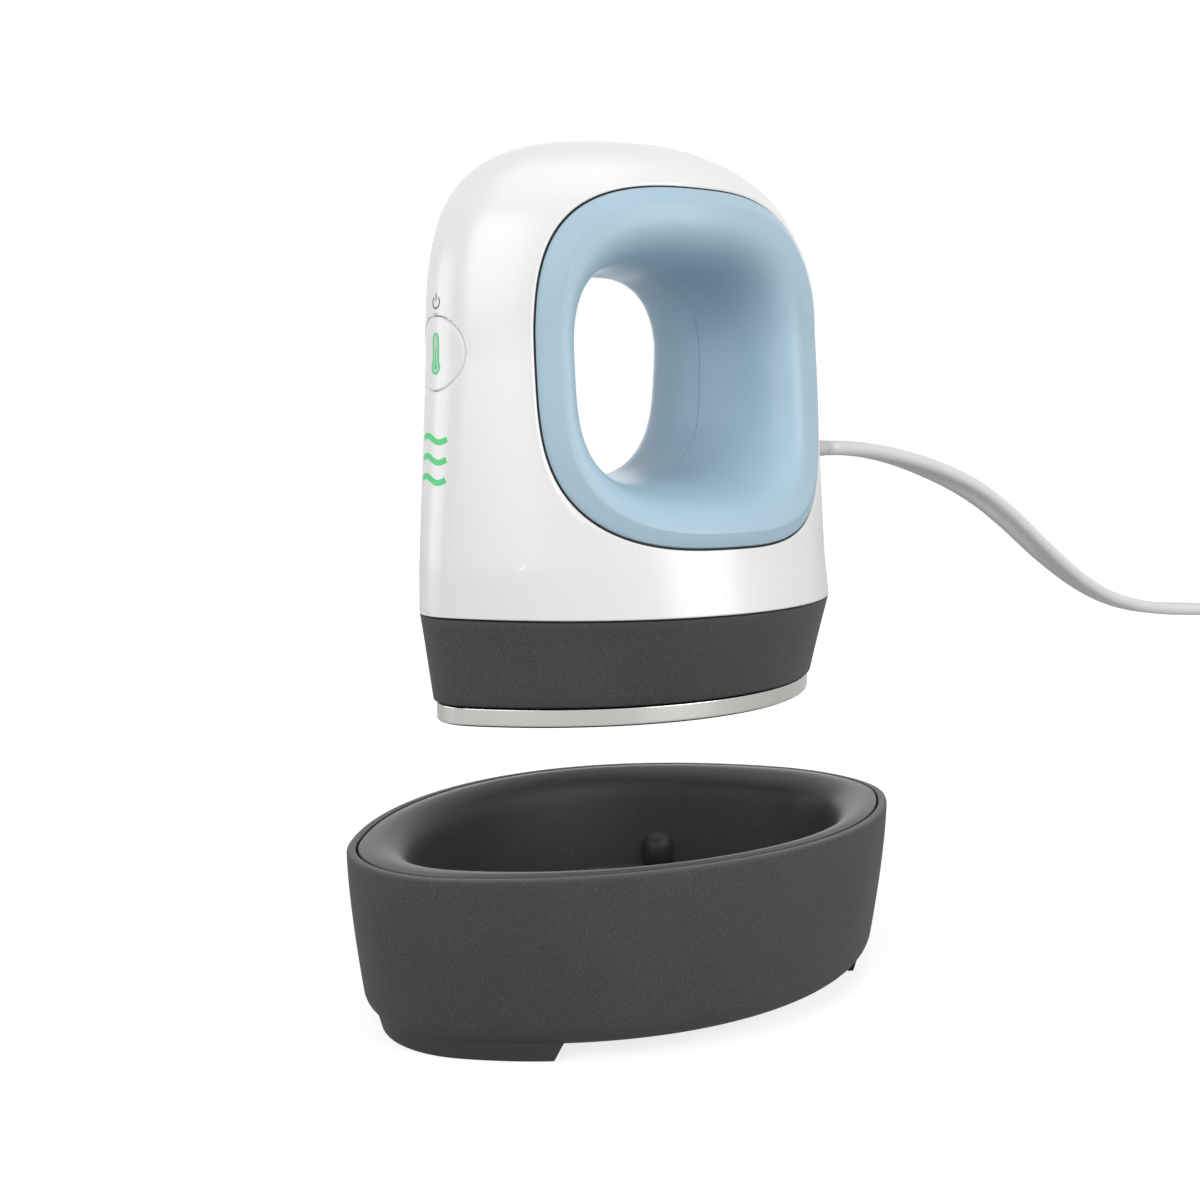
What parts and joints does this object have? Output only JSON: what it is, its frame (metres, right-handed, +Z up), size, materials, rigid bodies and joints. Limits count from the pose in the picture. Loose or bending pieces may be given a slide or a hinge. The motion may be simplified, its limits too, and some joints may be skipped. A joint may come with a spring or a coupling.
{
  "type": "mini handheld heat press",
  "caption": "Small handheld craft heat press with an almond-shaped heated plate, a hand hole through its upright housing, a front button, a flat cord with plug, and a dished safety base.",
  "frame": {"origin": "on the supporting surface, under the middle of the safety base", "axes": "+Z up; -X towards the front of the press, with its button and lights; +X towards the rear, where the cord leaves; +Y across, towards the right grip insert"},
  "size_m": [0.3341, 0.1225, 0.1533],
  "materials": {
    "base_plastic": "fine spark-eroded texture",
    "liner_plastic": "fine spark-eroded texture",
    "mat_silicone": "matte silicone",
    "foot_rubber": "matte",
    "screw_steel": "zinc plated",
    "cord_vinyl": "smooth vinyl",
    "tie_vinyl": "smooth vinyl",
    "plug_vinyl": "smooth moulded vinyl",
    "pin_brass": "plated",
    "plate_metal": "satin, fine ground face",
    "heater_metal": "cast",
    "element_metal": "heat tinted",
    "ceramic_fibre": "woven fibre",
    "spring_steel": "bright sheet",
    "sensor_glass": "glazed bead",
    "fuse_case": "glazed",
    "dark_shroud": "fine spark-eroded texture",
    "chassis_plastic": "glass filled, matte",
    "gasket_silicone": "matte silicone",
    "white_shell": "smooth satin, moulded",
    "wave_lens": "lit green, translucent",
    "blue_grip": "satin, moulded",
    "board_laminate": "solder mask",
    "relay_case": "moulded case",
    "terminal_plastic": "moulded case",
    "capacitor_sleeve": "shrink sleeve",
    "black_case": "moulded case",
    "switch_metal": "pressed case",
    "led_lens": "clear epoxy",
    "lead_sleeve": "silicone sleeve",
    "mains_sleeve": "vinyl sleeve",
    "thermometer_lens": "translucent"
  },
  "bodies": {
    "base": {"base_shell": "base_plastic", "base_liner": "liner_plastic", "heat_mat": "mat_silicone", "front_foot": "foot_rubber", "rear_foot": "foot_rubber", "base_fixing_screws": "screw_steel", "cord_tube": "cord_vinyl", "cord_coil": "cord_vinyl", "cord_tie": "tie_vinyl", "plug_body": "plug_vinyl", "plug_pins": "pin_brass"},
    "press": {"heat_plate": "plate_metal", "plate_screws": "screw_steel", "heater_block": "heater_metal", "heating_element": "element_metal", "insulation_pad": "ceramic_fibre", "heat_shield": "spring_steel", "thermistor": "sensor_glass", "thermal_fuse": "fuse_case", "heat_shroud": "dark_shroud", "inner_chassis": "chassis_plastic", "silicone_gasket": "gasket_silicone", "housing_shell": "white_shell", "wave_windows": "wave_lens", "housing_fixing_screws": "screw_steel", "grip_insert_left": "blue_grip", "grip_insert_right": "blue_grip", "control_board": "board_laminate", "board_screws": "screw_steel", "power_relay": "relay_case", "terminal_block": "terminal_plastic", "capacitor": "capacitor_sleeve", "buzzer": "black_case", "light_board": "board_laminate", "tactile_switch": "switch_metal", "indicator_leds": "led_lens", "heater_leads": "lead_sleeve", "mains_leads": "mains_sleeve", "strain_relief": "cord_vinyl"},
    "button": {"button_cap": "white_shell", "thermometer_window": "thermometer_lens"}
  },
  "joints": [
    {"name": "press_lift", "type": "slide", "parent": "base", "child": "press", "axis": [0, 0, 1], "range_m": [-0.0397, 0.06], "deforming": ["cord_tube"]},
    {"name": "button_press", "type": "slide", "parent": "press", "child": "button", "axis": [1, 0, 0], "range_m": [0, 0.0006], "stiffness_N_per_m": 600, "springref_m": -0.001}
  ]
}
